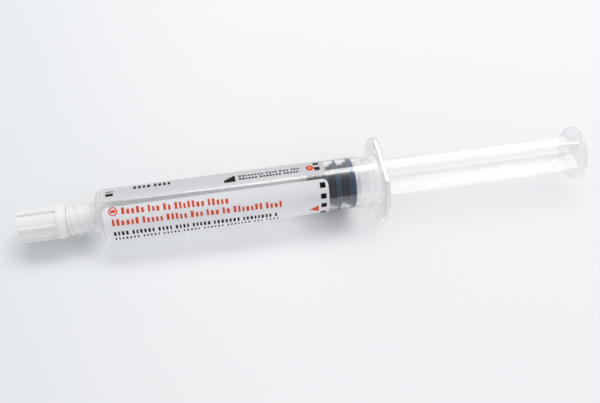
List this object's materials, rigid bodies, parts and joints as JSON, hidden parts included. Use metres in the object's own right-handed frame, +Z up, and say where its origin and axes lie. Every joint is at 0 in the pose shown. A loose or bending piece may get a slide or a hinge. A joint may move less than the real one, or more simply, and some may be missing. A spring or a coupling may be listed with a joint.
{
  "type": "prefilled syringe",
  "caption": "Prefilled flush syringe with luer-lock tip, ribbed tip cap, ribbed rubber stopper, cross-finned plunger rod and wrapped label.",
  "frame": {"origin": "on the table, at the centre of the footprint's box, under the barrel near the flange", "axes": "+X from the tip cap towards the thumb press, +Z up; the syringe's own axis lies in the XZ plane and rises 1.72 degrees towards the thumb press"},
  "size_m": [0.1766, 0.0268, 0.0212],
  "materials": {
    "clear_plastic": "clear moulded polypropylene",
    "rod_plastic": "clear moulded polypropylene",
    "stopper_rubber": "satin, slightly oiled",
    "cap_plastic": "fine satin",
    "label_film": "translucent printed film",
    "saline": "clear water-like liquid"
  },
  "bodies": {
    "barrel": {"barrel": "clear_plastic", "label": "label_film", "saline": "saline"},
    "plunger": {"plunger_rod": "rod_plastic", "stopper": "stopper_rubber"},
    "cap": {"tip_cap": "cap_plastic"}
  },
  "joints": [
    {"name": "plunger_slide", "type": "slide", "parent": "barrel", "child": "plunger", "axis": [0.9995, 0, 0.03], "range_m": [-0.0625, 0.0042], "deforming": ["saline"]},
    {"name": "cap_draw", "type": "slide", "parent": "barrel", "child": "cap", "axis": [-0.9995, 0, -0.03], "range_m": [0, 0.016]}
  ]
}
